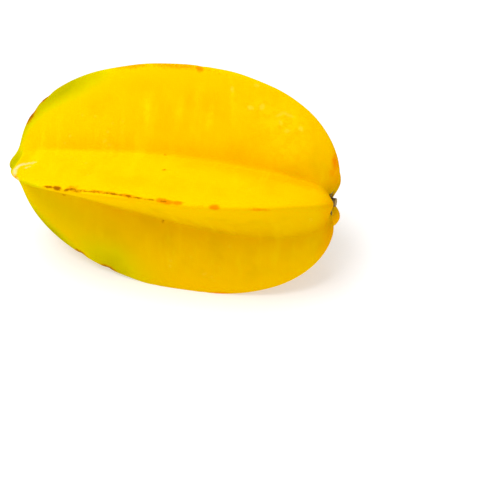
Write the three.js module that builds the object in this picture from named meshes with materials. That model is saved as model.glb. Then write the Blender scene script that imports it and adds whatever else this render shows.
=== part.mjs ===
// A whole ripe star fruit, resting on the two ribs of its underside.
// The fruit grew as one piece, so it is one closed solid: a skin drawn ring by ring
// along the fruit's axis, each ring a five-armed star with rounded arms and valleys.
// Millimetres, +Z up. The axis lies along X, with the blossom tip at -X and the stem at +X.
import * as THREE from 'three';

// ---- size and place ----
const HALF_LENGTH = 52.3;
const BELLY_SHIFT = 0.098;       // the fullest place sits this share of the half length towards the stem
const AXIS_AT = [2.23, 0.19, 27.0]; // the fruit's middle, with the table at z = 0

// ---- the five ribs, counted upwards from the side that faces -Y ----
// azimuth and twist are degrees about the axis, height is the crest's greatest distance from it,
// and the two exponents say how squarely the crest comes down at the tip and at the stem
const RIBS = [
  { azimuth: 21.9, twist: 4.0, height: 37.0, tipFullness: 2.6, stemFullness: 2.25 },
  { azimuth: 90.0, twist: 0.0, height: 41.2, tipFullness: 2.17, stemFullness: 2.25 },
  { azimuth: 165.0, twist: -2.0, height: 35.2, tipFullness: 2.25, stemFullness: 1.9 },
  { azimuth: 235.5, twist: 1.0, height: 33.5, tipFullness: 2.05, stemFullness: 2.25 },
  { azimuth: 303.7, twist: 1.2, height: 33.2, tipFullness: 1.9, stemFullness: 2.25 },
];

// ---- the valley after each rib: how far it leans, how it twists, and its share of the ribs' height ----
const VALLEYS = [
  { lean: 1.2, twist: 0.0, depth: 0.462, deepening: -0.072 },
  { lean: 0.0, twist: 0.0, depth: 0.465, deepening: -0.02 },
  { lean: 0.0, twist: 0.0, depth: 0.465, deepening: 0.0 },
  { lean: 0.0, twist: 0.0, depth: 0.47, deepening: 0.0 },
  { lean: -0.9, twist: -8.6, depth: 0.47, deepening: 0.121 },
];

// ---- the rounding of a rib's section ----
const CREST_ROUND = 1.7;         // millimetres, the reach of the round at a crest
const VALLEY_ROUND = 2.6;        // millimetres, the reach of the round at a valley
const MOST_ROUND = 0.9;          // near the ends, no round is wider than this share of a flank
const FLANK_SWELL = 0.04;        // the flanks belly out by this share of the rib's depth

// ---- towards either end the valleys fill up, so that the skin closes round, not as a star ----
const MERGE_RADIUS = 5.0;        // millimetres from the axis within which the ribs have run together
const MERGE_SHARE = 0.96;        // and the valley's share of the ribs' height there

// ---- the blossom tip, a blunt point a little off the axis ----
const TIP = { length: 2.9, radius: 3.2, y: -1.8, z: -1.0 };

// ---- the stem end: a wide dent, a narrow pit in it, and the stub of the stalk in the pit ----
const DENT = { depth: 1.5, radius: 12.0 };
const PIT = { depth: 3.6, radius: 5.4 };
const STUB = { height: 2.0, radius: 2.3 };

// ---- the mesh ----
const RINGS = 70;                // steps along the axis
const FLANK_STEPS = 7;           // steps from a crest to a valley
const END_CROWDING = 0.6;        // draws the rings closer together towards the ends
const CREST_CROWDING = 0.5;      // draws the points of a ring closer together towards the crests
const CROWDING_FROM = 6.0;       // millimetres from the axis at which that crowding sets in

const radians = THREE.MathUtils.degToRad;

// 1 at the middle of a round swelling, falling to nothing past its radius
const bump = (distance, radius) => Math.exp(-((distance / radius) ** 2));

// 0 at 0 and 1 at 1, straight but for a round start that is as wide as `round`
function easedIn(t, round) {
  const full = Math.hypot(1, round) - round;
  return (Math.hypot(t, round) - round) / full;
}

// the crest of rib i where the ring is at share q of the half length, -1 at the tip to 1 at the stem
function crest(i, q) {
  const rib = RIBS[i];
  const fullness = q < 0 ? rib.tipFullness : rib.stemFullness;
  const fall = Math.max(0, 1 - Math.abs(q) ** fullness);
  return { angle: radians(rib.azimuth + rib.twist * q), radius: rib.height * fall ** (1 / fullness) };
}

// the bottom of the valley between two crests
function valley(i, q, before, after) {
  const shape = VALLEYS[i];
  const halfway = (before.angle + after.angle) / 2;
  const height = (before.radius + after.radius) / 2;
  const open = shape.depth + shape.deepening * q;
  const share = open + (MERGE_SHARE - open) * bump(height, MERGE_RADIUS);
  return { angle: halfway + radians(shape.lean + shape.twist * q), radius: share * height };
}

// the distance from the axis at share h of the way from a crest to a valley: a straight flank
// seen in polar terms, with its crest and its valley rounded and a slight swell between them
function flankRadius(top, bottom, h) {
  const span = Math.abs(bottom.angle - top.angle);
  const crestRound = Math.min(MOST_ROUND, CREST_ROUND / (top.radius * span));
  const valleyRound = Math.min(MOST_ROUND, VALLEY_ROUND / (2 * bottom.radius * span));
  const rounded = easedIn(1 - easedIn(1 - h, valleyRound), crestRound);
  const ratio = bottom.radius / top.radius;
  const slope = Math.atan2(ratio * Math.sin(span), 1 - ratio * Math.cos(span));
  const straight = (s) => Math.sin(slope) / Math.sin(slope + s * span);
  const share = (straight(rounded) - straight(1)) / (straight(0) - straight(1));
  const swell = FLANK_SWELL * Math.sin(Math.PI * h);
  return bottom.radius + (top.radius - bottom.radius) * (share + swell);
}

// where along a flank the points of a ring stand
function flankShares(meanRadius) {
  const power = 1 + CREST_CROWDING * (1 - bump(meanRadius, CROWDING_FROM));
  return Array.from({ length: FLANK_STEPS }, (_, j) => (j / FLANK_STEPS) ** power);
}

// one ring's points as [angle, radius], going round once from the first rib's crest
function ringSection(q) {
  const crests = RIBS.map((_, i) => crest(i, q));
  const shares = flankShares(crests.reduce((sum, c) => sum + c.radius, 0) / crests.length);
  const points = [];
  crests.forEach((before, i) => {
    const next = crests[(i + 1) % crests.length];
    const turn = i === crests.length - 1 ? 2 * Math.PI : 0;
    const after = { angle: next.angle + turn, radius: next.radius };
    const bottom = valley(i, q, before, after);
    const point = (top, h) => [top.angle + (bottom.angle - top.angle) * h, flankRadius(top, bottom, h)];
    shares.forEach((h) => points.push(point(before, h)));
    points.push([bottom.angle, bottom.radius]);
    shares.slice(1).reverse().forEach((h) => points.push(point(after, h)));
  });
  return points;
}

// the point of the skin at one ring and angle, with the tip drawn out, the stem end drawn in,
// and whatever would sink into the table pressed flat on it
function skinPoint(q, angle, radius) {
  const y = -radius * Math.cos(angle);
  const z = radius * Math.sin(angle);
  let x = HALF_LENGTH * (q + BELLY_SHIFT * (1 - q * q));
  if (q < 0) {
    x -= TIP.length * bump(Math.hypot(y - TIP.y, z - TIP.z), TIP.radius);
  } else {
    x -= DENT.depth * bump(radius, DENT.radius) + PIT.depth * bump(radius, PIT.radius);
    x += STUB.height * bump(radius * radius, STUB.radius * STUB.radius);
  }
  return [x + AXIS_AT[0], y + AXIS_AT[1], Math.max(0, z + AXIS_AT[2])];
}

// share q of each ring: the cosine crowds the rings where the fruit closes
function ringShares() {
  const shares = [];
  for (let i = 1; i < RINGS; i += 1) {
    const t = i / RINGS;
    const crowded = t - (END_CROWDING * Math.sin(2 * Math.PI * t)) / (2 * Math.PI);
    shares.push(-Math.cos(Math.PI * crowded));
  }
  return shares;
}

// two rows of triangles between neighbouring rings, and a fan at each end, all facing outwards
function skinFaces(rings, around) {
  const faces = [];
  const at = (ring, k) => 1 + ring * around + (k % around);
  const last = 1 + rings * around;
  for (let k = 0; k < around; k += 1) {
    faces.push(0, at(0, k), at(0, k + 1));
    for (let r = 0; r < rings - 1; r += 1) {
      faces.push(at(r, k), at(r + 1, k), at(r + 1, k + 1));
      faces.push(at(r, k), at(r + 1, k + 1), at(r, k + 1));
    }
    faces.push(at(rings - 1, k), last, at(rings - 1, k + 1));
  }
  return faces;
}

function fruitGeometry() {
  const rings = ringShares();
  const positions = [skinPoint(-1, 0, 0)];
  rings.forEach((q) => {
    ringSection(q).forEach(([angle, radius]) => positions.push(skinPoint(q, angle, radius)));
  });
  positions.push(skinPoint(1, 0, 0));
  const around = 2 * FLANK_STEPS * RIBS.length;
  const geometry = new THREE.BufferGeometry();
  geometry.setAttribute('position', new THREE.Float32BufferAttribute(positions.flat(), 3));
  geometry.setIndex(skinFaces(rings.length, around));
  geometry.computeVertexNormals();
  return geometry;
}

const skin = new THREE.MeshStandardMaterial({ color: 0xf6c80a, roughness: 0.32, metalness: 0 });
const fruit = new THREE.Mesh(fruitGeometry(), skin);
fruit.name = 'star_fruit';

const group = new THREE.Group();
group.name = 'star_fruit_whole';
group.add(fruit);

export default group;
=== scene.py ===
# %% [markdown]
# # Dressing a star fruit
# A star fruit is one fleshy body with five deep ribs, so cut across it is a star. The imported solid
# gives its form and its place. This file lays a finer skin over that solid, colours it as a ripe
# fruit, adds the dry stalk end, and sets the fruit on a pale table in soft light.
# Everything is in metres, in the solid's own frame: the fruit's axis runs along X, with the
# blossom tip at -X and the stem at +X, and the table is z = 0.

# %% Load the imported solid
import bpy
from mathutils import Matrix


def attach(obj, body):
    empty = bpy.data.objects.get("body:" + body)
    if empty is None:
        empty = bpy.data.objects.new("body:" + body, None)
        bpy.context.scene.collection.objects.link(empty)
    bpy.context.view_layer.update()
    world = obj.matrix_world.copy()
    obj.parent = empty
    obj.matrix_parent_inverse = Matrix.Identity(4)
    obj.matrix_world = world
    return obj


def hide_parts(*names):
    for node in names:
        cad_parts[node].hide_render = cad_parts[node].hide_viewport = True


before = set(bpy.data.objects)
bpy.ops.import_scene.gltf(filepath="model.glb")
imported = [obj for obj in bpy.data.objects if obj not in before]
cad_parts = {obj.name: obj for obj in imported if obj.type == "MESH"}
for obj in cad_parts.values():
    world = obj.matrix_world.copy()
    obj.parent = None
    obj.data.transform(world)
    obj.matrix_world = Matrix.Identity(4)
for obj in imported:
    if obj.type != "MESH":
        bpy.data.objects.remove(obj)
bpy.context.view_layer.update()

# %% Tools and units
import math

import bpy
import numpy as np
from mathutils import Matrix, Vector

MM = 0.001
scene = bpy.context.scene

# %% [markdown]
# ## The camera
# The view is fixed by five numbers: how far the camera is turned round the fruit, how far it is
# raised, its distance, and where the fruit's middle falls in the square picture. The camera looks
# straight ahead from there, with no lens shift, because a shift would stay in every other view.
# Its place is worked out from those numbers with plain vectors, and not by pointing it at a
# target, so that the fruit can sit off the middle of the picture.

# %% Place the camera
FRUIT_MIDDLE = np.array([2.23, 0.19, 27.0])      # millimetres, the middle of the fruit's axis
VIEW_TURN, VIEW_RISE = 14.03, 32.5               # degrees
VIEW_DISTANCE = 550.0                            # millimetres
PICTURE = 480.0                                  # the picture's side in pixels
MIDDLE_AT = (179.1, 182.35)                      # where the fruit's middle falls, in pixels
PIXELS_PER_MM = 3.211
SENSOR = 36.0


def view_axes(turn, rise):
    """Three unit vectors, to the right, up and back towards the camera, for a camera turned
    `turn` degrees about Z from looking along +Y and raised `rise` degrees."""
    a, e = math.radians(turn), math.radians(rise)
    back = np.array([math.sin(a) * math.cos(e), -math.cos(a) * math.cos(e), math.sin(e)])
    right = np.array([math.cos(a), math.sin(a), 0.0])
    return right, np.cross(back, right), back


right, up, back = view_axes(VIEW_TURN, VIEW_RISE)
aside = (MIDDLE_AT[0] - PICTURE / 2) / PIXELS_PER_MM
above = (PICTURE / 2 - MIDDLE_AT[1]) / PIXELS_PER_MM
eye = FRUIT_MIDDLE + back * VIEW_DISTANCE - right * aside - up * above

camera_data = bpy.data.cameras.new("camera")
camera_data.sensor_width = SENSOR
camera_data.lens = PIXELS_PER_MM * VIEW_DISTANCE * SENSOR / PICTURE
camera_data.clip_start = 0.01
camera = bpy.data.objects.new("camera", camera_data)
scene.collection.objects.link(camera)
turned = Matrix((right, up, back)).transposed().to_4x4()
camera.matrix_world = Matrix.Translation(Vector(eye * MM)) @ turned
scene.camera = camera
print("camera at", [round(v, 3) for v in camera.matrix_world.translation])
print("its lens, mm:", round(camera_data.lens, 1))

# %% [markdown]
# ## The ribs
# Each rib is described by its crest, the line along its outer edge. Seen from the side the crest
# is a superellipse: |along|^n + |height|^n = 1, where a higher n makes a squarer shoulder. The
# tip end and the stem end have a power each. Between two crests lies a valley, which keeps to a
# share of the crests' height. These are the numbers that the solid was drawn from, so that the
# skin and the solid agree. The skin only adds what is too slight for a solid: the first rib bends
# a little, the valley over it sags towards the tip, the last rib is a touch fuller at the tip,
# and the blossom end is rounder.

# %% The ribs' numbers
HALF_LENGTH = 52.3
BELLY_SHIFT = 0.098
# azimuth, twist, height, fullness at the tip, fullness at the stem
RIBS = np.array([
    [21.9, 4.0, 37.0, 2.6, 2.25],
    [90.0, 0.0, 41.2, 2.17, 2.25],
    [165.0, -2.0, 35.2, 2.25, 1.9],
    [235.5, 1.0, 33.5, 2.05, 2.25],
    [303.7, 1.2, 33.2, 1.98, 2.25],
])
# lean, twist, depth, deepening of the valley after each rib
VALLEYS = np.array([
    [1.2, 0.0, 0.462, -0.072],
    [0.0, 0.0, 0.465, -0.02],
    [0.0, 0.0, 0.465, 0.0],
    [0.0, 0.0, 0.47, 0.0],
    [-0.9, -8.6, 0.47, 0.121],
])
CREST_ROUND, VALLEY_ROUND, MOST_ROUND = 1.7, 2.6, 0.9
FLANK_SWELL = 0.04
MERGE_RADIUS, MERGE_SHARE = 5.0, 0.96
TIP = {"length": 3.0, "radius": 4.2, "y": -1.6, "z": -0.4}
DENT_DEPTH, DENT_RADIUS = 1.5, 12.0
PIT_DEPTH, PIT_RADIUS = 3.6, 5.4

# %% What makes the ribs uneven
SWAY, SWELL = 0.22, 0.0022       # a ripple in every crest: degrees, and a share of the height
SWAY_SEED, SWELL_SEED = 11, 31   # each rib adds its own number to these
NEAR_RIB_BEND = 1.0              # degrees, a slow S along the first rib
BEND_MIDDLE, BEND_WAVE = -0.05, 1.2      # in q: where the S crosses over, and its length
NEAR_VALLEY_SAG = 5.0            # degrees, how far the first valley sags towards that rib
SAG_AT, SAG_SPREAD = -0.65, 0.38         # in q

# %% Crests and valleys as functions


def bump(distance, radius):
    """exp(-(distance / radius)^2): 1 in the middle and nothing well past the radius."""
    return np.exp(-(distance / radius) ** 2)


def eased(t, round_):
    """(sqrt(t^2 + r^2) - r) over the same at t = 1: straight, but for a round start r wide."""
    return (np.hypot(t, round_) - round_) / (np.hypot(1, round_) - round_)


def ripple(q, seed, waves=(2.3, 4.1, 7.3), sizes=(1.0, 0.6, 0.35)):
    """A slow uneven wave along the fruit: three sines of q with fixed phases from the seed."""
    phases = np.random.default_rng(seed).uniform(0, 2 * np.pi, len(waves))
    return sum(s * np.sin(np.pi * w * q + p) for w, s, p in zip(waves, sizes, phases))


def crests(q):
    """Angle and height of the five crests at q, the share of the half length from -1 to 1:
    angle = azimuth + twist q, height = H (1 - |q|^n)^(1/n), each with a little ripple, and a
    slow S in the first rib's angle."""
    azimuth, twist, height, tip_full, stem_full = (RIBS[:, k, None] for k in range(5))
    full = np.where(q < 0, tip_full, stem_full)
    radius = height * np.maximum(0, 1 - np.abs(q) ** full) ** (1 / full)
    sway = np.array([ripple(q, SWAY_SEED + i) for i in range(5)])
    wave = np.sin(2 * np.pi * (q - BEND_MIDDLE) / BEND_WAVE)
    sway[0] -= NEAR_RIB_BEND / SWAY * wave * (1 - q * q)
    swell = np.array([ripple(q, SWELL_SEED + i) for i in range(5)])
    return np.radians(azimuth + twist * q + SWAY * sway), radius * (1 + SWELL * swell)


def valleys(q, angle, radius):
    """The valley after each crest: halfway round to the next one, and more for its lean, and at a
    share of their mean height, which rises to nearly 1 at the ends, where the ribs run together.
    The first valley sags by a bump of q."""
    lean, twist, depth, deepening = (VALLEYS[:, k, None] for k in range(4))
    next_angle = np.vstack([angle[1:], angle[:1] + 2 * np.pi])
    height = (radius + np.roll(radius, -1, 0)) / 2
    open_ = depth + deepening * q
    share = open_ + (MERGE_SHARE - open_) * bump(height, MERGE_RADIUS)
    leaning = lean + twist * q
    leaning[0] -= NEAR_VALLEY_SAG * bump(q - SAG_AT, SAG_SPREAD)
    return (angle + next_angle) / 2 + np.radians(leaning), share * height


print("crest heights at the middle, mm:", np.round(crests(np.zeros(1))[1][:, 0], 1))

# %% [markdown]
# ## A flank
# Between a crest and a valley the flank is a straight slope. In polar terms a straight line is
# sin(s) / sin(s + angle), which is then rounded at the crest and in the valley, and bellied out a
# little. The whole skin is this one function on a grid: along the fruit, and from crest to valley
# and back five times round. Box modelling and a subdivision surface could give a star too, but
# the crests would wander from the solid's; the formula keeps them exactly.

# %% The skin as a function of place


def flank(top_angle, top_radius, low_angle, low_radius, h):
    """Angle and radius at share h of the way from a crest to a valley (see the cell above)."""
    span = np.abs(low_angle - top_angle)
    crest_round = np.minimum(MOST_ROUND, CREST_ROUND / (top_radius * span))
    valley_round = np.minimum(MOST_ROUND, VALLEY_ROUND / (2 * low_radius * span))
    rounded = eased(1 - eased(1 - h, valley_round), crest_round)
    ratio = low_radius / top_radius
    slope = np.arctan2(ratio * np.sin(span), 1 - ratio * np.cos(span))

    def straight(s):
        return np.sin(slope) / np.sin(slope + s * span)

    share = (straight(rounded) - straight(1.0)) / (straight(0.0) - straight(1.0))
    belly = FLANK_SWELL * np.sin(np.pi * h)
    radius = low_radius + (top_radius - low_radius) * (share + belly)
    return top_angle + (low_angle - top_angle) * h, radius


def ends(x, y, z, q, radius):
    """Draws the blossom tip out to a blunt point and sinks the stem end in a dent with a pit."""
    tip = TIP["length"] * bump(np.hypot(y - TIP["y"], z - TIP["z"]), TIP["radius"])
    pit = DENT_DEPTH * bump(radius, DENT_RADIUS) + PIT_DEPTH * bump(radius, PIT_RADIUS)
    return x - np.where(q < 0, tip, pit)


def skin_place(q, angle, radius):
    """The point at share q, angle and radius, in millimetres in the solid's frame, with
    whatever would sink into the table pressed flat on it."""
    y, z = -radius * np.cos(angle), radius * np.sin(angle)
    x = ends(HALF_LENGTH * (q + BELLY_SHIFT * (1 - q * q)), y, z, q, radius)
    x, y, z = x + FRUIT_MIDDLE[0], y + FRUIT_MIDDLE[1], z + FRUIT_MIDDLE[2]
    return np.stack([x, y, np.maximum(z, 0.0)], -1)


def on_flank(rib, side, q, h):
    """The point on one rib: side +1 is the flank towards the next rib, -1 the other one."""
    q = np.atleast_1d(np.asarray(q, float))
    angle, radius = crests(q)
    low_angle, low_radius = valleys(q, angle, radius)
    low = rib if side > 0 else rib - 1
    turn = -2 * np.pi if low < 0 else 0.0
    spot = flank(angle[rib], radius[rib], low_angle[low] + turn, low_radius[low], h)
    return skin_place(q, *spot)


print("crest of the top rib at its middle, mm:", np.round(on_flank(1, 1, 0.0, 0.0)[0], 1))

# %% [markdown]
# ## From a grid to a mesh
# The grid has a row for each ring along the fruit and a column for each step round it. Rows are
# crowded towards the ends and columns towards the crests, where the skin bends most. A point at
# each end closes the grid, and the faces are listed so that they look outwards.

# %% Lay the grid
RINGS, FLANK_STEPS = 400, 24
END_CROWDING, CREST_CROWDING, CROWDING_FROM = 0.45, 0.7, 6.0


def skin_grid():
    """Arrays of rows by columns: the points, and for each its q, its share h and its rib."""
    t = np.arange(1, RINGS) / RINGS
    q = -np.cos(np.pi * (t - END_CROWDING * np.sin(2 * np.pi * t) / (2 * np.pi)))
    angle, radius = crests(q)
    low_angle, low_radius = valleys(q, angle, radius)
    power = 1 + CREST_CROWDING * (1 - bump(radius.mean(0), CROWDING_FROM))
    steps = (np.arange(FLANK_STEPS + 1) / FLANK_STEPS)[:, None] ** power
    columns = []
    for rib in range(5):
        after = (rib + 1) % 5
        turn = 2 * np.pi if after == 0 else 0.0
        down = flank(angle[rib], radius[rib], low_angle[rib], low_radius[rib], steps)
        rise = flank(angle[after] + turn, radius[after], low_angle[rib], low_radius[rib], steps)
        columns.append((down[0], down[1], steps, rib))
        columns.append((rise[0][::-1][1:-1], rise[1][::-1][1:-1], steps[::-1][1:-1], after))
    angles = np.vstack([c[0] for c in columns]).T
    radii = np.vstack([c[1] for c in columns]).T
    shares = np.vstack([c[2] for c in columns]).T
    ribs = np.concatenate([np.full(len(c[2]), c[3]) for c in columns])
    rows = q[:, None] + np.zeros_like(angles)
    return {"q": rows, "angle": angles, "radius": radii, "share": shares, "rib": ribs}


def closed_faces(rows, columns):
    """Quads between the rows of a grid that joins up round its columns, and a fan at each end."""
    r, k = np.meshgrid(np.arange(rows - 1), np.arange(columns), indexing="ij")
    first, next_ = 1 + r * columns + k, 1 + r * columns + (k + 1) % columns
    quads = np.stack([first, first + columns, next_ + columns, next_], -1).reshape(-1, 4)
    ring, last = np.arange(columns), 1 + rows * columns
    onward = (ring + 1) % columns
    start = np.stack([np.zeros_like(ring), 1 + ring, 1 + onward], -1)
    end_row = 1 + (rows - 1) * columns
    end = np.stack([end_row + ring, np.full_like(ring, last), end_row + onward], -1)
    return quads, np.vstack([start, end])


def mesh_piece(name, points, quads, triangles, values=None):
    """A smooth mesh object at the origin from points in metres, with a float for each point
    under each name in `values`."""
    mesh = bpy.data.meshes.new(name)
    mesh.from_pydata(points, [], quads.tolist() + triangles.tolist())
    mesh.polygons.foreach_set("use_smooth", np.ones(len(mesh.polygons), bool))
    for key, floats in (values or {}).items():
        layer = mesh.attributes.new(key, "FLOAT", "POINT")
        layer.data.foreach_set("value", np.ascontiguousarray(floats, np.float32))
    mesh.update()
    piece = bpy.data.objects.new(name, mesh)
    scene.collection.objects.link(piece)
    return piece


grid = skin_grid()
print("grid of", grid["q"].shape, "points")

# %% [markdown]
# ## Low relief and what the paint needs to know
# A grown skin is never as even as a formula. Shallow swellings run up and down the flanks, and a
# crest has small nicks where it was rubbed on the tree or in the box. The paint also follows the
# form: it has to know how far a place is from the nearest crest, how deep it lies in a valley,
# where along the fruit it is, how unripe it is, and whether its flank faces down. These are
# stored in the mesh as one float a point, because a pattern in space alone can't tell a crest
# from a flank.

# %% Relief, nicks and unripe edges
RELIEF = 0.16                    # millimetres
# the two waves of the relief: size, waves along the fruit, shift for each rib, slant up the flank
RELIEF_WAVES = [(1.0, 9.1, 2.1, 0.0), (0.7, 17.3, 1.3, 3.0)]
NICK_REACH = 0.05                # share of the flank
# rib, place along it (q), half width in q, depth in millimetres
NICKS = [
    (1, -0.905, 0.016, 0.50), (1, -0.822, 0.020, 0.35), (1, 0.05, 0.02, 0.15),
    (0, -0.60, 0.020, 0.25), (0, -0.27, 0.020, 0.15), (2, -0.2, 0.03, 0.4),
    (3, 0.35, 0.03, 0.3), (4, -0.60, 0.022, 0.35), (4, -0.44, 0.025, 0.35),
]
# rib, how green its crest is, where (q), spread in q, reach down the flanks in millimetres
UNRIPE = [
    (0, 0.75, -0.82, 0.13, 1.1), (1, 1.20, -0.79, 0.33, 3.5), (2, 0.80, -0.66, 0.30, 3.2),
    (3, 0.60, -0.52, 0.33, 4.0), (4, 0.82, -0.43, 0.24, 4.6), (4, 1.30, -0.75, 0.20, 1.4),
    (4, 0.25, -0.74, 0.38, 12.0),
]


def nicked(q, share, rib):
    """How far the crest is worn back: depth exp(-(along / width)^2 - (share / reach)^2), gone a
    tenth of the way down the flank."""
    worn = np.zeros_like(share)
    for which, at, width, depth in NICKS:
        worn += depth * bump(q - at, width) * bump(share, NICK_REACH) * (rib == which)
    return worn


def flank_relief(q, share, rib):
    """Shallow swellings: sines along the fruit times sin^2 up the flank, so none at a crest."""
    waves = sum(size * np.sin(along * q + shift * rib + slant * share)
                for size, along, shift, slant in RELIEF_WAVES)
    return RELIEF * waves * np.sin(np.pi * share) ** 2


# %% [markdown]
# ## The floats that follow the form
# A green edge is a lens along its crest: strongest at one place, fading both ways along the rib and
# down the flanks, as a narrow edge with a wider wash round it. A flank that faces down gets
# painted shade: a deeper gold that grows into the valley. One that faces up gets painted light:
# it stays pale right down to the valley near the tip, and turns golden towards the stem. The way
# a flank faces is read off the rings themselves, from one column's neighbours.

# %% Work out the form's floats
FLANK_TURN = math.radians(36.0)          # from a crest round to a valley
FLANK_AT, FLANK_DROP = 0.6, 0.5          # a flank's mean height and its drop, as shares of the crest's
EDGE_SHARE, WASH_REACH = 0.87, 3         # the narrow edge's share of the green, and the wash's reach
# painted shade on the flanks that face down: how it grows into the valley and fades at the tip
BELOW_POWER = 0.7
BELOW_LOST, BELOW_FROM = 0.95, 0.55      # how much of it the tip end loses, and over what q
# painted light on the flanks that face up: they keep the valley's gold off near the tip
LEVEL_FROM, LEVEL_TO = 0.45, 0.85        # how far up a flank faces for it to count as level
SHELF_ENDS, SHELF_FADE, SHELF_GOLD = 0.05, 0.5, -0.7     # in q, in q, and the most gold past it
SHELF_PALER = 0.8


def facing_up(g):
    """The sine of the skin's slope round the ring: run / sqrt(run^2 + rise^2), between the points
    on either side. It is 1 where the skin faces up, 0 where it stands and -1 where it faces down."""
    across, height = -g["radius"] * np.cos(g["angle"]), g["radius"] * np.sin(g["angle"])
    run, rise = (np.roll(v, -1, 1) - np.roll(v, 1, 1) for v in (across, height))
    return run / np.hypot(run, rise)


def green_edges(g, from_crest):
    """The greenest of the lenses: strength exp(-((q - at) / spread)^2) along its own rib, times a
    narrow and a wide exp(-(distance / reach)^2) down from the crest."""
    green = np.zeros_like(from_crest)
    for rib, strength, at, spread, reach in UNRIPE:
        edge = EDGE_SHARE * bump(from_crest, reach)
        edge += (1 - EDGE_SHARE) * bump(from_crest, WASH_REACH * reach)
        lens = strength * bump(g["q"] - at, spread) * (g["rib"] == rib)
        green = np.maximum(green, lens * edge)
    return green


def form_values(g):
    """What the paint reads of the form: distance from the crest in millimetres, depth in the
    valley (share^2, for painted shade in the valleys, less on a level shelf that faces up, for
    painted light), place along the fruit, how green, and how far the flank faces down, for
    painted shade, which grows into the valley and fades towards the tip."""
    crest_radius = crests(g["q"][:, 0])[1].T[:, g["rib"]]
    from_crest = g["share"] * crest_radius * math.hypot(FLANK_TURN * FLANK_AT, FLANK_DROP)
    up = facing_up(g)
    # painted shade: a flank that faces down gets a deeper gold
    down_shade = np.clip(-up, 0, 1) * g["share"] ** BELOW_POWER
    down_shade *= 1 - BELOW_LOST * bump(g["q"] + 1, BELOW_FROM)
    # painted light: a flank that faces up is kept pale in its valley near the tip, and more gold towards
    # the stem
    shelf = np.clip((up - LEVEL_FROM) / (LEVEL_TO - LEVEL_FROM), 0, 1)
    shelf *= np.clip((SHELF_ENDS - g["q"]) / SHELF_FADE, SHELF_GOLD, 1)
    return {"from_crest": from_crest, "valley": g["share"] ** 2 * (1 - SHELF_PALER * shelf),
            "along": g["q"], "unripe": green_edges(g, from_crest), "down_shade": down_shade}


grid_up = facing_up(grid)
print("how far up the skin faces, from", round(grid_up.min(), 2), "to", round(grid_up.max(), 2))

# %% [markdown]
# ## Smears on the skin
# A rub, a scar, a patch of painted sheen or a painted highlight is a smear from one point of the
# skin to another. Each is an ellipsoid in space round its two points, 1 inside and 0 outside with
# a soft edge, so a row of eight numbers is enough for it. A rub on a crest is orange while it is
# fresh and dries to brown, so there is a table of each. They too are stored as a float a point;
# the paint roughens their edges later. A painted image could hold them, but it would need the
# skin unwrapped flat.

# %% A smear between two points
NUDGE_Q, NUDGE_H = 0.01, 0.02    # steps along and down the skin, to find which way it slopes
LEAST_H = 0.03                   # such a step keeps this far off a crest and a valley
LEAST_LENGTH = 0.1               # millimetres: a shorter smear is a dot, and runs along the fruit
LEAST_DEPTH = 1.0                # millimetres, so that a thin smear still reaches the skin


def smear_frame(rib, side, q_from, h_from, q_to, h_to):
    """Middle, half length and three unit vectors (along, aside, outward) of a smear between two
    points of one flank; `outward` is square to the skin in the middle."""
    start, end = on_flank(rib, side, q_from, h_from)[0], on_flank(rib, side, q_to, h_to)[0]
    q, h = (q_from + q_to) / 2, min(max((h_from + h_to) / 2, LEAST_H), 1 - LEAST_H)
    ahead = on_flank(rib, side, q + NUDGE_Q, h)[0] - on_flank(rib, side, q - NUDGE_Q, h)[0]
    down = on_flank(rib, side, q, h + NUDGE_H)[0] - on_flank(rib, side, q, h - NUDGE_H)[0]
    outward = np.cross(ahead, down)
    along = end - start if np.linalg.norm(end - start) > LEAST_LENGTH else ahead
    along = along / np.linalg.norm(along)
    outward -= along * np.dot(along, outward)
    outward /= np.linalg.norm(outward)
    axes = (along, np.cross(outward, along), outward)
    return (start + end) / 2, np.linalg.norm(end - start) / 2, axes


def inside(points, middle, axes, radii, soft):
    """1 inside an ellipsoid with those axes and radii, 0 outside: a smooth step of the distance
    |axes . (point - middle) / radii| from 1 + soft to 1 - soft."""
    distance = np.linalg.norm((points - middle) @ np.array(axes).T / radii, axis=-1)
    t = np.clip((1 + soft - distance) / (2 * soft), 0, 1)
    return t * t * (3 - 2 * t)


def smeared(points, rows, soft):
    """The largest of the smears in a table at each point, each times its weight."""
    total = np.zeros(points.shape[:-1])
    for *spot, half_width, weight in rows:
        middle, half_length, axes = smear_frame(*spot)
        radii = (half_length + half_width, half_width, max(half_width, LEAST_DEPTH))
        total = np.maximum(total, weight * inside(points, middle, axes, radii, soft))
    return total


print("a rub's middle, mm:", np.round(smear_frame(0, 1, -0.625, 0.04, -0.59, 0.04)[0], 1))

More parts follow.
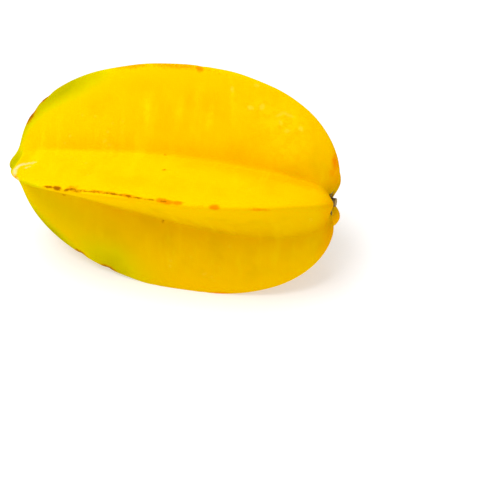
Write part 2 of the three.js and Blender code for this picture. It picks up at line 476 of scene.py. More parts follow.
# %% The rubs on the crests
# rib, side, q from, share from, q to, share to, half width, weight
DRIED_RUBS = [
    (0, 1, -0.690, 0.014, -0.630, 0.020, 0.36, 0.92),
    (0, 1, -0.632, 0.024, -0.598, 0.022, 0.62, 1.00),
    (0, 1, -0.566, 0.008, -0.540, 0.028, 0.42, 0.90),
    (0, 1, -0.545, 0.034, -0.505, 0.034, 0.60, 0.78),
    (0, 1, -0.520, 0.016, -0.480, 0.018, 0.36, 0.75),
    (0, 1, -0.495, 0.030, -0.452, 0.036, 0.46, 0.72),
    (0, 1, -0.416, 0.038, -0.350, 0.038, 0.48, 0.68),
    (0, 1, -0.345, 0.036, -0.304, 0.038, 0.38, 0.90),
    (0, 1, -0.310, 0.038, -0.271, 0.032, 0.42, 1.00),
    (0, 1, -0.272, 0.026, -0.226, 0.030, 0.34, 0.80),
    (0, 1, -0.228, 0.030, -0.182, 0.018, 0.48, 0.80),
    (0, 1, -0.184, 0.016, -0.112, 0.006, 0.26, 0.80),
    (0, 1, -0.112, 0.006, -0.040, 0.010, 0.22, 0.68),
    (0, 1, -0.020, 0.014, 0.016, 0.018, 0.38, 0.72),
    (0, 1, -0.560, 0.016, -0.330, 0.026, 0.24, 0.72),
    (0, 1, -0.122, 1.000, -0.116, 0.980, 0.38, 0.60),
    (0, 1, -0.091, 0.504, -0.060, 0.524, 0.36, 0.60),
    (4, 1, -0.712, 0.854, -0.704, 0.854, 0.40, 0.60),
    (4, 1, -0.118, 0.970, -0.110, 0.970, 0.45, 0.80),
    (0, 1, -0.926, 0.058, -0.894, 0.017, 0.45, 0.45),
    (0, -1, -0.890, 0.010, -0.841, 0.040, 0.35, 0.35),
    (1, -1, 0.277, 0.600, 0.277, 0.660, 0.60, 0.20),
    (1, -1, -0.938, 0.045, -0.905, 0.045, 1.35, 1.00),
    (1, -1, -0.866, 0.018, -0.822, 0.020, 0.60, 0.95),
    (1, -1, -0.800, 0.010, -0.700, 0.010, 0.26, 0.32),
    (4, 1, -0.630, 0.035, -0.582, 0.030, 0.75, 0.85),
    (4, 1, -0.470, 0.025, -0.405, 0.020, 0.85, 1.00),
    (4, 1, -0.580, 0.000, -0.320, 0.000, 0.30, 0.40),
    (1, 1, -0.45, 0.03, -0.36, 0.02, 0.45, 0.70),
    (2, -1, -0.70, 0.03, -0.62, 0.03, 0.55, 0.90),
    (2, -1, -0.25, 0.02, -0.14, 0.03, 0.45, 0.85),
    (2, 1, 0.05, 0.55, 0.06, 0.58, 0.40, 0.70),
    (3, -1, -0.60, 0.03, -0.50, 0.03, 0.42, 0.80),
    (3, 1, 0.30, 0.02, 0.38, 0.02, 0.55, 0.85),
    (4, -1, -0.10, 0.03, 0.00, 0.02, 0.45, 0.70),
]
FRESH_RUBS = [
    (0, 1, -0.555, 0.060, -0.500, 0.075, 0.80, 0.50),
    (0, 1, -0.416, 0.040, -0.340, 0.040, 0.55, 0.60),
    (0, 1, -0.240, 0.030, -0.170, 0.022, 0.55, 0.75),
    (0, 1, -0.032, 0.020, 0.006, 0.024, 0.80, 0.85),
    (0, 1, -0.005, 0.014, 0.042, 0.014, 0.62, 1.00),
    (0, 1, 0.058, 0.016, 0.104, 0.024, 0.60, 0.85),
    (0, 1, 0.180, 0.010, 0.250, 0.010, 0.35, 0.28),
    (0, -1, 0.282, 0.004, 0.312, 0.004, 0.80, 0.85),
    (0, 1, -0.920, 0.040, -0.880, 0.020, 0.50, 0.55),
    (1, -1, -0.440, 0.010, -0.250, 0.015, 1.10, 0.50),
    (1, -1, -0.250, 0.015, 0.040, 0.020, 1.20, 0.52),
    (1, -1, 0.060, 0.020, 0.600, 0.010, 1.00, 0.42),
    (1, -1, 0.032, 0.030, 0.052, 0.035, 0.75, 0.90),
    (1, -1, 0.937, 0.058, 0.945, 0.160, 1.50, 0.50),
    (1, -1, 0.930, 0.130, 0.936, 0.145, 0.80, 0.72),
    (1, -1, 0.942, 0.160, 0.925, 0.400, 1.30, 0.36),
    (1, 1, 0.30, 0.02, 0.42, 0.04, 0.60, 0.60),
    (2, 1, 0.20, 0.03, 0.36, 0.02, 0.60, 0.60),
    (3, -1, 0.05, 0.03, 0.16, 0.02, 0.70, 0.55),
    (4, 1, 0.20, 0.02, 0.30, 0.03, 0.60, 0.60),
    (0, -1, 0.50, 0.02, 0.62, 0.03, 0.60, 0.55),
]
print(len(DRIED_RUBS), "dried rubs,", len(FRESH_RUBS), "fresh rubs")

# %% The patches of painted sheen, the paler flank and the painted highlight at the tip
# patches of painted sheen and pale streaks of painted light on the top rib's near flank
SHEEN_PATCHES = [
    (1, -1, -0.244, 0.26, -0.238, 0.50, 1.0, 0.80),
    (1, -1, -0.050, 0.26, -0.064, 0.47, 1.0, 0.60),
    (1, -1, 0.057, 0.15, 0.043, 0.27, 1.2, 0.65),
    (1, -1, 0.126, 0.30, 0.122, 0.42, 0.9, 0.85),
    (1, -1, 0.240, 0.09, 0.270, 0.33, 0.9, 0.70),
    (1, -1, 0.440, 0.20, 0.660, 0.25, 4.2, 0.85),
    (1, -1, 0.560, 0.50, 0.690, 0.38, 3.6, 0.75),
    (1, -1, 0.600, 0.12, 0.700, 0.18, 2.6, 0.80),
    (1, -1, 0.370, 0.22, 0.500, 0.16, 1.6, 0.50),
]
PALER_FLANK = [(4, 1, -0.880, 0.62, -0.660, 0.66, 7.0, 0.60)]
# the creamy streak at the tip is a painted highlight on the curve of the near rib's end
TIP_HIGHLIGHT_STREAK = [
    (0, 1, -0.910, 0.060, -0.927, 0.138, 0.80, 0.85),
    (0, 1, -0.927, 0.138, -0.926, 0.222, 1.10, 1.00),
    (0, 1, -0.926, 0.222, -0.911, 0.302, 0.95, 0.95),
    (0, 1, -0.911, 0.302, -0.884, 0.354, 0.72, 0.78),
    (0, 1, -0.884, 0.354, -0.855, 0.408, 0.62, 0.75),
    (0, 1, -0.855, 0.408, -0.827, 0.446, 0.58, 0.65),
    (0, 1, -0.866, 0.262, -0.840, 0.318, 0.55, 0.60),
    (0, 1, -0.890, 0.010, -0.868, 0.000, 0.42, 0.55),
]
print(len(SHEEN_PATCHES), "pale patches,", len(TIP_HIGHLIGHT_STREAK), "pieces of the streak")

# %% [markdown]
# ## The skin at last
# Now the grid gets its relief, its floats and its place. The blossom tip ripens as late as the
# crests do, so it wears a green cap: an ellipsoid like the smears, but cut short on top of the near
# rib, where the painted highlight at the tip begins, and faded out slowly under that rib. The pit
# and the brown dot at the very tip are ellipsoids as well.

# %% Make the skin
ACROSS = ((1, 0, 0), (0, 1, 0), (0, 0, 1))
CAP_AT, CAP_RADII, CAP_SOFT = (0.0, -9.5, 1.5), (11.0, 11.0, 8.0), 0.5   # millimetres from the tip
CAP_FULL, CAP_GONE = (-0.985, -0.955), (-0.870, -0.930)  # in q: under the near rib, and on top of it
NEAR_RIB_UP = (0.0, 0.31, 0.95)                  # square to the near rib at the tip
PIT_SPREAD, PIT_SOFT = (5.0, 6.5, 6.5), 0.7
SCAR_SPREAD, SCAR_SOFT = (1.2, 1.1, 1.1), 0.5
SMEARS = {                                       # table, softness of its edges
    "dried": (DRIED_RUBS, 0.8),
    "fresh": (FRESH_RUBS, 0.8),
    "sheen": (SHEEN_PATCHES, 0.95),
    "paler": (PALER_FLANK, 0.95),
    "tip_highlight": (TIP_HIGHLIGHT_STREAK, 0.9),
}
rib_of = grid["rib"][None, :].astype(float)
relief = flank_relief(grid["q"], grid["share"], rib_of) - nicked(grid["q"], grid["share"], rib_of)
skin_points = skin_place(grid["q"], grid["angle"], grid["radius"] + relief)
tip_point = skin_place(np.array([-1.0]), np.zeros(1), np.zeros(1))
stem_point = skin_place(np.array([1.0]), np.zeros(1), np.zeros(1))
all_points = np.vstack([tip_point, skin_points.reshape(-1, 3), stem_point])
values = {}
for key, array in form_values(grid).items():
    values[key] = np.concatenate([[array[0].mean()], array.ravel(), [array[-1].mean()]])
on_top = np.clip(0.5 + 0.5 * (all_points - tip_point[0]) @ NEAR_RIB_UP, 0, 1)
full, gone = (under + (top - under) * on_top for under, top in (CAP_FULL, CAP_GONE))
before_streak = np.clip((gone - values["along"]) / (gone - full), 0, 1)
green_cap = inside(all_points, tip_point[0] + CAP_AT, ACROSS, CAP_RADII, CAP_SOFT)
values["unripe"] = np.maximum(values["unripe"], before_streak * green_cap)
for key, (rows, soft) in SMEARS.items():
    values[key] = smeared(all_points, rows, soft)
values["pit"] = inside(all_points, stem_point[0], ACROSS, PIT_SPREAD, PIT_SOFT)
values["scar"] = inside(all_points, tip_point[0], ACROSS, SCAR_SPREAD, SCAR_SOFT)
quads, triangles = closed_faces(*grid["q"].shape)
skin = mesh_piece("fruit_skin", all_points * MM, quads, triangles, values)
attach(skin, "root")
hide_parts("star_fruit")
print("skin:", 2 * len(quads) + len(triangles), "triangles; floats a point:", sorted(values))

# %% [markdown]
# ## The stub of the stalk
# Where the fruit was picked, a stub of the stalk stays in the pit between the five shoulders. It
# could be turned with a Screw modifier, but then its furrows would need a second step. So it is a
# profile turned by its formula: a flared foot, a waist, and a squared-off cut end, which is a
# superellipse of a high power, with the furrows as cosines of the turn.

# %% Make the stalk stub
STUB_SUNK, STUB_LENGTH = 0.8, 3.6                # millimetres, the foot below the pit's floor
STUB_RADIUS, STUB_FLARE, FLARE_REACH = 1.25, 1.15, 1.3
RIM_BEAD, RIM_REACH = 0.12, 0.7                  # the cut end's rim stands out a little
DISH_DEPTH, DISH_RADIUS = 0.3, 0.7               # and its middle is dried hollow
SQUARENESS = 0.25                                # the power 2/8 of the squared-off profile
STUB_LEAN = 0.06
CUT_DEPTH, CUT_FADE = 0.45, 0.2                  # millimetres of bare wood at the cut end
FURROWS = [(0.05, 7, 0.5, 0.0), (0.03, 13, 0.0, 1.7)]    # depth, how many, twist, shift
STUB_RINGS, STUB_COLUMNS = 40, 72


def stub_place(rise, turn):
    """x = foot + length sin(rise)^(2/8); radius = (waist + flare exp(-x^2)) cos(rise)^(2/8), with
    furrows as cosines of the turn, a slight lean, and a dished end."""
    x = STUB_LENGTH * np.sin(rise) ** SQUARENESS
    body = STUB_RADIUS + STUB_FLARE * bump(x, FLARE_REACH) + RIM_BEAD * bump(x - STUB_LENGTH, RIM_REACH)
    furrows = 1 + sum(d * np.cos(n * turn + twist * x + shift) for d, n, twist, shift in FURROWS)
    radius = body * np.cos(rise) ** SQUARENESS * furrows
    dish = DISH_DEPTH * bump(radius, DISH_RADIUS) * (x > STUB_LENGTH / 2)
    lean = STUB_LEAN * x
    y = FRUIT_MIDDLE[1] - radius * np.cos(turn) + lean
    z = FRUIT_MIDDLE[2] + radius * np.sin(turn) - lean / 2
    return np.stack([stem_point[0, 0] - STUB_SUNK + x - dish, y, z], -1)


def closed_grid(points, first, last):
    """The points of a grid in metres, in one list between its two end points."""
    return np.vstack([first, points.reshape(-1, 3), last]) * MM


# rows crowd towards the foot, and stop just short of either pole, where the furrows would pinch
rise = np.linspace(0.0, 1.0, STUB_RINGS)[:, None] ** 2 * (np.pi / 2 - 0.02) + 1e-6
turn = np.linspace(0, 2 * np.pi, STUB_COLUMNS, endpoint=False)[None, :]
stub_points = stub_place(rise + 0 * turn, turn + 0 * rise)
stub_mesh = closed_grid(stub_points, stub_points[0].mean(0), stub_points[-1].mean(0))
stub_quads, stub_fans = closed_faces(*stub_points.shape[:2])
from_end = stub_points[..., 0].max() - stub_mesh[:, 0] / MM
cut_end = np.clip((CUT_DEPTH - from_end) / CUT_FADE, 0, 1)
stub = mesh_piece("stalk_stub", stub_mesh, stub_quads, stub_fans, {"cut": cut_end})
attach(stub, "root")
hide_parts("star_fruit")
print("stub reaches x =", round(float(stub_points[..., 0].max()), 2), "mm")

# %% [markdown]
# ## The dried calyx
# The leaves of the flower's calyx have dried flat round the foot of the stub, one in each valley.
# A flat star would cut into the skin, which is hollow there. So the sheet is laid on the skin: its
# place is read off the skin's own last rings, and its two faces bulge a little off that.

# %% Make the dried calyx
CALYX_INNER, CALYX_REACH = 2.0, 3.0              # millimetres: between the lobes, and a lobe's length
CALYX_OVER, CALYX_UNDER = 0.28, -0.3             # millimetres that its two faces bulge by
CALYX_CLEAR, CALYX_CURL = 0.08, 0.5              # millimetres off the skin, and a point's curl
CALYX_ROWS, CALYX_MIDDLE = 12, 0.04


def last_rings(reach):
    """x of the skin at the radii `reach` (rows by columns of the skin), read off its own rings."""
    y, z = skin_points[..., 1] - FRUIT_MIDDLE[1], skin_points[..., 2] - FRUIT_MIDDLE[2]
    from_axis, x = np.hypot(y, z)[::-1], skin_points[..., 0][::-1]
    near = slice(0, RINGS // 4)
    columns = [np.interp(reach[:, k], from_axis[near, k], x[near, k]) for k in range(reach.shape[1])]
    return np.array(columns).T


def calyx_sheet(share, turn, bulge):
    """Rows from the rim of the calyx to its middle. The rim is inner + reach share^2, which is a
    pointed lobe in each valley; the sheet lies on the skin, bulges by bulge (1 - inward^4), and
    its points curl up as reach^4."""
    rim = CALYX_INNER + CALYX_REACH * share ** 2
    inward = np.linspace(1.0, CALYX_MIDDLE, CALYX_ROWS)[:, None]
    reach = rim * inward
    curl = CALYX_CURL * (reach / (CALYX_INNER + CALYX_REACH)) ** 4
    x = last_rings(reach) + curl + bulge * (1 - inward ** 4) + CALYX_CLEAR
    y, z = FRUIT_MIDDLE[1] - reach * np.cos(turn), FRUIT_MIDDLE[2] + reach * np.sin(turn)
    return np.stack([x, y, z], -1)


end_share, end_turn = grid["share"][-1], grid["angle"][-1]
top_sheet, under_sheet = (calyx_sheet(end_share, end_turn, b) for b in (CALYX_OVER, CALYX_UNDER))
calyx_points = np.vstack([under_sheet[::-1], top_sheet[1:]])
calyx_mesh = closed_grid(calyx_points, calyx_points[0].mean(0), calyx_points[-1].mean(0))
calyx_quads, calyx_fans = closed_faces(*calyx_points.shape[:2])
calyx = mesh_piece("dried_calyx", calyx_mesh, calyx_quads, calyx_fans)
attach(calyx, "root")
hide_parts("star_fruit")
print("calyx spans", np.round(np.ptp(calyx_points.reshape(-1, 3), axis=0), 1), "mm")

# %% [markdown]
# ## Paint, written as sums
# A shader is a graph of nodes, which is hard to read. Here a socket is wrapped in a small class,
# so that `1 - mask` or `mask * 0.4` adds the Math node by itself. Any other node comes from one
# method that takes the node's type, its settings and its inputs.

# %% A wire that can be used in sums


class Wire:
    """One output socket of a material's nodes, which plain arithmetic can be done with."""

    def __init__(self, paint, socket):
        self.paint, self.socket = paint, socket

    def _math(self, operation, first, second):
        return self.paint.node("ShaderNodeMath", {"operation": operation}, {0: first, 1: second})

    def __add__(self, other):
        return self._math("ADD", self, other)

    def __radd__(self, other):
        return self._math("ADD", other, self)

    def __sub__(self, other):
        return self._math("SUBTRACT", self, other)

    def __rsub__(self, other):
        return self._math("SUBTRACT", other, self)

    def __mul__(self, other):
        return self._math("MULTIPLY", self, other)

    def __rmul__(self, other):
        return self._math("MULTIPLY", other, self)

    def largest(self, other):
        return self._math("MAXIMUM", self, other)


class Paint:
    """A material and the nodes in it."""

    def __init__(self, name):
        self.material = bpy.data.materials.new(name)
        self.material.use_nodes = True
        self.tree = self.material.node_tree
        self.tree.nodes.clear()

    def node(self, kind, settings=None, inputs=None, out=0):
        """Adds a node: settings are its own properties, inputs are values or wires by socket."""
        node = self.tree.nodes.new(kind)
        for key, value in (settings or {}).items():
            setattr(node, key, value)
        for key, value in (inputs or {}).items():
            if isinstance(value, Wire):
                self.tree.links.new(value.socket, node.inputs[key])
            else:
                node.inputs[key].default_value = value
        return Wire(self, node.outputs[out]) if node.outputs else node

    def step(self, wire, start, end):
        """0 where the wire is at `start`, 1 at `end`, smooth between; either may be larger."""
        inputs = {"Value": wire, "From Min": start, "From Max": end}
        return self.node("ShaderNodeMapRange", {"interpolation_type": "SMOOTHSTEP"}, inputs)

    def mix(self, factor, first, second):
        """Colour `first` turned into `second` by the factor."""
        settings = {"data_type": "RGBA", "blend_type": "MIX", "clamp_factor": True}
        return self.node("ShaderNodeMix", settings, {0: factor, 6: first, 7: second}, out=2)

    def noise(self, place, scale, detail=2.0, roughness=0.5):
        """Cloudy noise from 0 to 1, `scale` waves to the metre."""
        inputs = {"Vector": place, "Scale": scale, "Detail": detail, "Roughness": roughness}
        return self.node("ShaderNodeTexNoise", {}, inputs)

    def stretched(self, place, scale):
        """The place with each axis scaled, so that a pattern read there is drawn out."""
        inputs = {"Vector": place, "Scale": scale}
        return self.node("ShaderNodeMapping", {"vector_type": "POINT"}, inputs)

    def attribute(self, name):
        """One of the floats that a mesh carries."""
        return self.node("ShaderNodeAttribute", {"attribute_name": name}, out="Fac")


def srgb(red, green, blue):
    """A colour as screens count it, 0 to 255, turned into the linear values that nodes use."""
    share = np.array([red, green, blue]) / 255.0
    linear = np.where(share <= 0.04045, share / 12.92, ((share + 0.055) / 1.055) ** 2.4)
    return (*linear.tolist(), 1.0)


print("a ripe yellow, linear:", [round(v, 3) for v in srgb(250, 212, 0)])

# %% [markdown]
# ## The skin's colour
# Ripe skin is a clear warm yellow. The valleys are painted a deeper gold, which is painted shade
# and painted yellow light bounced from flank to flank; where a flank faces up near the tip that
# gold is held back, which is painted light. The flanks that face down get a painted shade of
# gold too. Faint darker clouds mottle it, and they are made stronger on the flanks that face
# down, which is painted shade as well. The crests ripen last, so some keep a green edge, and the
# rim round the stem ripens first, so it is nearly orange. Mix nodes lay these over each other
# from the bottom up, each with its own mask, as washes of colour are laid. Green takes two
# washes: lime up to the middle of the mask and a deeper green past it, because one wash would
# pass through a dull yellow.

# %% Lay the base colours
# the gold of the valleys and the shaded gold of the flanks that face down are painted shade
LEMON, YELLOW, VALLEY_SHADE_GOLD = srgb(238, 189, 0), srgb(237, 188, 0), srgb(230, 166, 0)
ORANGE, LIME, GREEN = srgb(236, 130, 0), srgb(212, 193, 0), srgb(176, 166, 0)
SHADED, CLOUDED, PALER = srgb(211, 162, 0), srgb(212, 164, 0), srgb(242, 202, 0)
CLOUD_SCALE, MOTTLE_SCALE, GREEN_SCALE = 28.0, 95.0, 110.0       # waves to the metre
paint = Paint("ripe_skin")
place = paint.node("ShaderNodeTexCoord", out="Object")
names = ("from_crest", "valley", "along", "unripe")
from_crest, valley, along, unripe = (paint.attribute(name) for name in names)

cloud = paint.noise(place, CLOUD_SCALE)
ripeness = paint.step(along + 0.9 * (cloud - 0.5), -0.9, 1.1)
flesh = paint.mix(ripeness, LEMON, YELLOW)
# painted shade: the valleys turn gold, for shade in the crease and light bounced between the flanks
valley_shade = paint.step(valley + 0.25 * (cloud - 0.5), 0.2, 1.0) * paint.step(along, -1.0, -0.7)
flesh = paint.mix(0.5 * valley_shade, flesh, VALLEY_SHADE_GOLD)
# painted shade on the flanks that face down
down_shade = paint.attribute("down_shade")
flesh = paint.mix(down_shade, flesh, SHADED)
# the mottle is the skin's own, but its extra strength on the flanks that face down is painted shade
mottle = paint.step(paint.noise(place, MOTTLE_SCALE), 0.45, 0.72) * paint.step(from_crest, 1.0, 5.0)
flesh = paint.mix((0.3 + 0.35 * down_shade) * mottle, flesh, CLOUDED)
flesh = paint.mix(paint.attribute("paler"), flesh, PALER)
stem_rim = paint.step(along + 0.12 * (cloud - 0.5), 0.86, 0.98)
flesh = paint.mix(0.45 * stem_rim, flesh, ORANGE)
greenness = unripe * (0.7 + 0.6 * paint.noise(place, GREEN_SCALE, 3.0))
flesh = paint.mix(2.0 * greenness, flesh, LIME)
flesh = paint.mix(2.0 * greenness - 1.0, flesh, GREEN)
print("nodes so far:", len(paint.tree.nodes))

# %% [markdown]
# ## Rubs, with rough edges
# The stored rubs are soft blots. Adding fine noise to one before a step is taken of it moves its
# edge in and out by a fraction of a millimetre, so that the edge is ragged and the brown core
# patchy, as dried skin is. The same trick serves the streak and the scars.

# %% Lay the rubs
DRYING, DRIED = srgb(204, 136, 0), srgb(146, 84, 2)
RAGGED_SCALE = 1300.0
ragged = paint.noise(place, RAGGED_SCALE, 3.0, 0.65)
fresh = paint.step(paint.attribute("fresh") + 0.7 * (ragged - 0.5), 0.12, 0.78)
dried = paint.attribute("dried") + 1.0 * (ragged - 0.5)
rim, brown = paint.step(dried, 0.12, 0.55), paint.step(dried, 0.38, 0.9)
flesh = paint.mix(0.9 * fresh, flesh, ORANGE)
flesh = paint.mix(0.65 * rim, flesh, DRYING)
flesh = paint.mix(0.9 * brown, flesh, DRIED)
print("with the rubs:", len(paint.tree.nodes), "nodes")

# %% [markdown]
# ## Painted light: pale streaks, sheen, glints and a highlight at the tip
# Some of the skin's light is painted into its colour. Wide pale streaks run up the flanks as
# painted light on the shallow swellings, pale patches are a painted sheen, and here and there a
# cluster of small bright flecks is painted as glints. At the tip a curved cream streak is a
# painted highlight. The streaks are noise on a place that is squeezed across the fruit, so that
# the pattern is drawn out from crest to valley. The flecks are cells of a Voronoi texture, kept in
# clusters by a mask. A few flecks are placed one by one: a Mapping node moves and turns the place
# so that the fleck becomes a unit ball, which is finer than the mesh.

# %% Painted glints, placed one by one
# painted glints: small bright spots on the top rib's near flank
# rib, side, q from, share from, q to, share to, half width, weight
PAINTED_GLINTS = [
    (1, -1, 0.246, 0.110, 0.248, 0.120, 0.45, 0.8),
    (1, -1, 0.362, 0.192, 0.372, 0.190, 0.55, 1.0),
    (1, -1, 0.437, 0.164, 0.441, 0.155, 0.60, 0.9),
    (1, -1, 0.388, 0.050, 0.398, 0.048, 0.45, 0.6),
    (1, -1, 0.540, 0.175, 0.575, 0.140, 0.40, 0.7),
    (1, -1, 0.575, 0.140, 0.625, 0.135, 0.40, 0.7),
    (1, -1, 0.600, 0.260, 0.610, 0.250, 0.50, 0.6),
    (1, -1, 0.560, 0.210, 0.565, 0.220, 0.45, 0.6),
    (1, -1, 0.690, 0.177, 0.696, 0.180, 0.55, 0.9),
]


def placed_glints(rows, soft):
    """The smears in the table, worked out in the shader from the place itself: a step of its
    length after it is moved, turned and divided by the fleck's half sizes."""
    total = None
    for *spot, half_width, weight in rows:
        middle, half_length, axes = smear_frame(*spot)
        inputs = {
            "Vector": place,
            "Location": tuple(middle * MM),
            "Rotation": tuple(Matrix(axes).transposed().to_euler()),
            "Scale": ((half_length + half_width) * MM, half_width * MM, MM),
        }
        ball = paint.node("ShaderNodeMapping", {"vector_type": "TEXTURE"}, inputs)
        distance = paint.node("ShaderNodeVectorMath", {"operation": "LENGTH"}, {0: ball}, out="Value")
        one = weight * paint.step(distance + 1.2 * (ragged - 0.5), 1.0 + soft, 1.0 - soft)
        total = one if total is None else total.largest(one)
    return total


print(len(PAINTED_GLINTS), "flecks placed by hand")

# %% Lay the painted light: pale streaks, sheen and glints
# the colours of painted light: pale streaks and sheen, glints, and the highlight at the tip
PAINTED_LIGHT_YELLOW, GLINT_PALE, HIGHLIGHT_CREAM = srgb(240, 206, 4), srgb(246, 216, 60), srgb(230, 204, 132)
SQUEEZE = (1.0, 0.22, 0.22)
STREAK_SCALE, PATCH_SCALE, CELL_SCALE, CLUSTER_SCALE = 260.0, 420.0, 330.0, 70.0
GLINT_SOFT = 0.8
# pale streaks up the flanks are painted light on the shallow swellings; the same noise also feeds the
# bump
streaks = paint.step(paint.noise(paint.stretched(place, SQUEEZE), STREAK_SCALE, 2.0, 0.55), 0.48, 0.75)
patchy = paint.step(paint.noise(place, PATCH_SCALE, 3.0, 0.6), 0.3, 0.62)
streak_light = 0.32 * paint.step(from_crest, 2.0, 7.0) * streaks
# the pale patches are a painted sheen
flesh = paint.mix(streak_light + 0.9 * paint.attribute("sheen") * patchy, flesh, PAINTED_LIGHT_YELLOW)

# the Voronoi flecks and the flecks in the table are painted glints
cells = paint.node("ShaderNodeTexVoronoi", {}, {"Vector": place, "Scale": CELL_SCALE, "Randomness": 1.0})
clusters = paint.step(paint.noise(place, CLUSTER_SCALE, 1.0), 0.56, 0.7)
glint_spots = paint.step(cells, 0.28, 0.08) * clusters * paint.step(from_crest, 2.0, 5.0)
glints = (0.4 * glint_spots).largest(placed_glints(PAINTED_GLINTS, GLINT_SOFT))
flesh = paint.mix(0.45 * glints, flesh, GLINT_PALE)
# the creamy streak at the tip is a painted highlight
tip_highlight = paint.step(paint.attribute("tip_highlight") + 0.7 * (ragged - 0.5), 0.12, 1.0)
flesh = paint.mix(tip_highlight, flesh, HIGHLIGHT_CREAM)
print("with the pale marks:", len(paint.tree.nodes), "nodes")

# %% [markdown]
# ## The two scars
# At the blossom end the flower's style fell off and left a dry brown dot. At the stem end the
# bottom of the pit is corky and brown, green round that.

# %% Lay the scars
pit, scar = paint.attribute("pit"), paint.attribute("scar")
cork = paint.step(pit + 0.3 * (ragged - 0.5), 0.75, 1.0).largest(scar)
CORK = srgb(104, 70, 26)
flesh = paint.mix(0.5 * pit, flesh, GREEN)
flesh = paint.mix(0.8 * cork, flesh, CORK)
dry = brown.largest(cork)
print("with the scars:", len(paint.tree.nodes), "nodes")

# %% [markdown]
# ## Gloss, glow and grain
# The skin is thin wax over wet flesh. Light goes in and comes out a few millimetres away, which
# subsurface scattering gives. The wax is dull rather than bright, so the reflection is kept low,
# or the white room would whiten every slanting face. The grain is a very fine dimpling with
# scattered pores, as a bump, and the dry marks are duller and a little sunk.

# %% Finish the skin
GRAIN_SCALE, SWELL_SCALE = 1500.0, 170.0
BUMP_DEPTH, LIGHT_REACH = 0.3 * MM, 3.0 * MM
grain = paint.noise(place, GRAIN_SCALE)
swells = paint.noise(place, SWELL_SCALE)
pores = paint.step(cells, 0.10, 0.02)
height = 0.3 * grain + 1.0 * swells + 0.25 * streaks - 0.4 * pores - 0.6 * dry
raised = paint.node("ShaderNodeBump", {}, {"Strength": 0.4, "Distance": BUMP_DEPTH, "Height": height})
principled = paint.node("ShaderNodeBsdfPrincipled", {}, {
    "Base Color": flesh,
    "Roughness": 0.3 + 0.1 * swells + 0.35 * dry,
    "Normal": raised,
    "Specular IOR Level": 0.0,
    "Subsurface Weight": 0.3,
    "Subsurface Radius": (1.0, 0.55, 0.08),
    "Subsurface Scale": LIGHT_REACH,
})
paint.node("ShaderNodeOutputMaterial", {}, {"Surface": principled})
skin.data.materials.append(paint.material)
print("skin paint:", len(paint.tree.nodes), "nodes")

# %% [markdown]
# ## The stalk's bark and the calyx
# The stub is dry greyish-brown bark with darker furrows, and a paler cut end where the wood shows.
# The calyx leaves have dried to a thin olive brown, mottled darker and lighter. Both are matte.

# %% Paint the stub and the calyx
BARK_DARK, BARK_LIGHT, WOOD = srgb(66, 48, 26), srgb(134, 108, 64), srgb(176, 150, 100)
LEAF_DARK, LEAF_LIGHT = srgb(92, 72, 26), srgb(150, 136, 56)
FURROW_DEPTH = 0.2 * MM


def dry_matter(name, dark, light, scale, squeeze):
    """A matte paint that runs from dark to light by noise drawn out along the fruit, with the
    same noise as a bump."""
    matter = Paint(name)
    drawn_out = matter.stretched(matter.node("ShaderNodeTexCoord", out="Object"), squeeze)
    fibres = matter.noise(drawn_out, scale, 3.0, 0.6)
    colour = matter.mix(matter.step(fibres, 0.35, 0.65), dark, light)
    inputs = {"Strength": 0.6, "Distance": FURROW_DEPTH, "Height": fibres}
    return matter, colour, matter.node("ShaderNodeBump", {}, inputs)


def finish_dry(matter, colour, raised, roughness):
    """Joins a matte paint's colour and bump to its surface."""
    inputs = {"Base Color": colour, "Normal": raised, "Roughness": roughness, "Specular IOR Level": 0.2}
    surface = matter.node("ShaderNodeBsdfPrincipled", {}, inputs)
    matter.node("ShaderNodeOutputMaterial", {}, {"Surface": surface})
    return matter.material


bark, colour, raised = dry_matter("dry_bark", BARK_DARK, BARK_LIGHT, 900.0, (0.25, 1, 1))
colour = bark.mix(0.8 * bark.attribute("cut"), colour, WOOD)
stub.data.materials.append(finish_dry(bark, colour, raised, 0.75))

leaf, colour, raised = dry_matter("dry_calyx", LEAF_DARK, LEAF_LIGHT, 700.0, (1, 1, 1))
calyx.data.materials.append(finish_dry(leaf, colour, raised, 0.7))
print("dry paints:", [o.data.materials[0].name for o in (stub, calyx)])

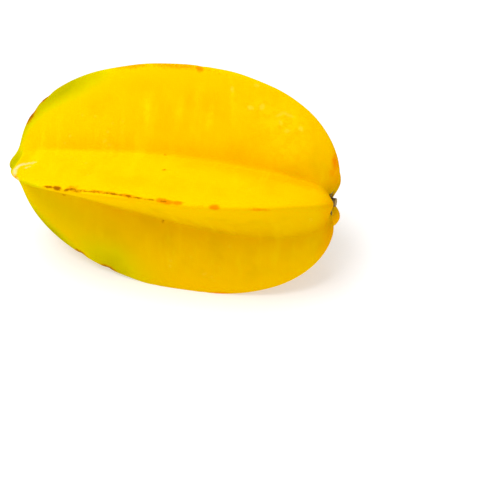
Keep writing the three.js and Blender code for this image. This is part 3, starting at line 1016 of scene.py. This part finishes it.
# %% [markdown]
# ## The table and the light
# The fruit lies on a white table that is lit from below, as a light table is. Part of its white is
# its own glow and part is what it reflects, so the fruit's shadow stays faint and takes little
# yellow from it. A white sky gives the soft light from all round, and one wide lamp overhead
# to the left adds a direction, so that the flank that faces up is the brightest. White below
# matters as much: the table throws light up under the ribs.

# %% Table, sky and lamp
TABLE_REACH = 4.0                                # metres
TABLE_WHITE, TABLE_GLOW = (0.60, 0.60, 0.61, 1.0), 0.45
WHITE, SKY_STRENGTH = (1.0, 1.0, 1.0, 1.0), 0.60
LAMP_AT, LAMP_AIM, LAMP_SIZE, LAMP_WATTS = (-0.25, -0.40, 1.1), (0.0, 0.0, 0.03), 0.8, 13.0


def flat_square(name, reach):
    """A level square, `reach` metres each way from the middle, at z = 0."""
    corners = np.array([[-1, -1, 0], [1, -1, 0], [1, 1, 0], [-1, 1, 0]]) * reach
    return mesh_piece(name, corners, np.array([[0, 1, 2, 3]]), np.zeros((0, 3), int))


table = flat_square("table", TABLE_REACH)
white = Paint("light_table")
matte = white.node("ShaderNodeBsdfPrincipled", {}, {
    "Base Color": TABLE_WHITE,
    "Roughness": 0.9,
    "Specular IOR Level": 0.1,
    "Emission Color": WHITE,
    "Emission Strength": TABLE_GLOW,
})
white.node("ShaderNodeOutputMaterial", {}, {"Surface": matte})
table.data.materials.append(white.material)

sky = bpy.data.worlds.new("studio")
sky.use_nodes = True
sky.node_tree.nodes["Background"].inputs["Color"].default_value = WHITE
sky.node_tree.nodes["Background"].inputs["Strength"].default_value = SKY_STRENGTH
scene.world = sky


def lamp(name, at, aim, size, watts):
    """A square white area lamp at a place in metres, turned to face its aim."""
    data = bpy.data.lights.new(name, "AREA")
    data.size, data.energy = size, watts
    light = bpy.data.objects.new(name, data)
    scene.collection.objects.link(light)
    facing = (Vector(aim) - Vector(at)).to_track_quat("-Z", "Y").to_matrix().to_4x4()
    light.matrix_world = Matrix.Translation(at) @ facing


lamp("overhead", LAMP_AT, LAMP_AIM, LAMP_SIZE, LAMP_WATTS)
scene.view_settings.view_transform = "Standard"
scene.view_settings.look = "None"
